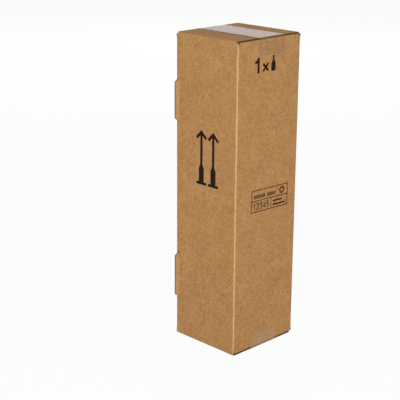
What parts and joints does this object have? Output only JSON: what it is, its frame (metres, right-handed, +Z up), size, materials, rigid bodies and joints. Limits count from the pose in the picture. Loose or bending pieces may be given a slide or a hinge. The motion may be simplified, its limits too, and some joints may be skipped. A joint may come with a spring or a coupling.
{
  "type": "bottle shipping box",
  "caption": "Tall square corrugated shipping box for a single bottle, folded and taped shut, with an inner bottle holder locked through the corner.",
  "frame": {"origin": "centre of the base, on the surface that the box stands on, midway between the four panels", "axes": "+Z up, the front panel with the numeral and the frame of rules faces -Y, the left panel with the two arrows and the lock tabs faces -X"},
  "size_m": [0.1265, 0.1122, 0.4301],
  "materials": {
    "kraft_board": "brown kraft liner, matt, with faint level flute marks",
    "holder_board": "brown kraft liner, matt, with open flutes at its cut ends",
    "clear_tape": "clear packing tape, glossy"
  },
  "bodies": {
    "root": {"outer_carton": "kraft_board", "bottle_holder": "holder_board", "top_tape": "clear_tape", "bottom_tape": "clear_tape"}
  },
  "joints": []
}
